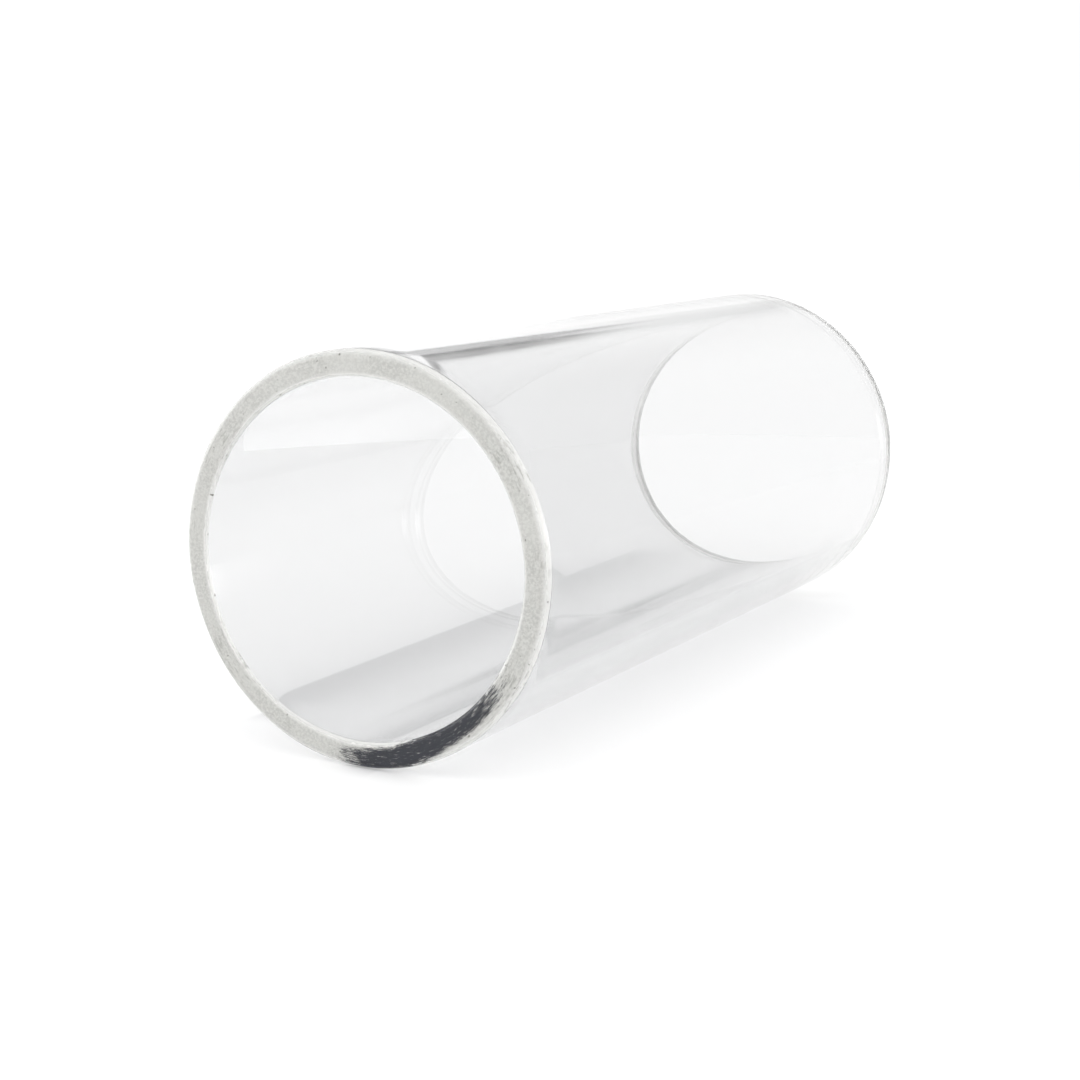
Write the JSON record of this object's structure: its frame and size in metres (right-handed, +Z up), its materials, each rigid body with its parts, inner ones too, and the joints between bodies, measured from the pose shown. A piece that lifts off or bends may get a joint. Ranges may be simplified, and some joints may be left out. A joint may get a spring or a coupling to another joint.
{
  "type": "guitar slide",
  "caption": "Plain open-ended tube of clear glass with ground, softly rounded rims, worn on a finger and slid along guitar strings.",
  "frame": {"origin": "on the surface that the tube lies on, under the middle of its length", "axes": "+Y along the tube's axis, +Z up from the surface that it lies on"},
  "size_m": [0.025, 0.06, 0.025],
  "materials": {
    "clear_glass": "clear and polished along the tube, finely ground on the two end rims"
  },
  "bodies": {
    "root": {"glass_tube": "clear_glass"}
  },
  "joints": []
}
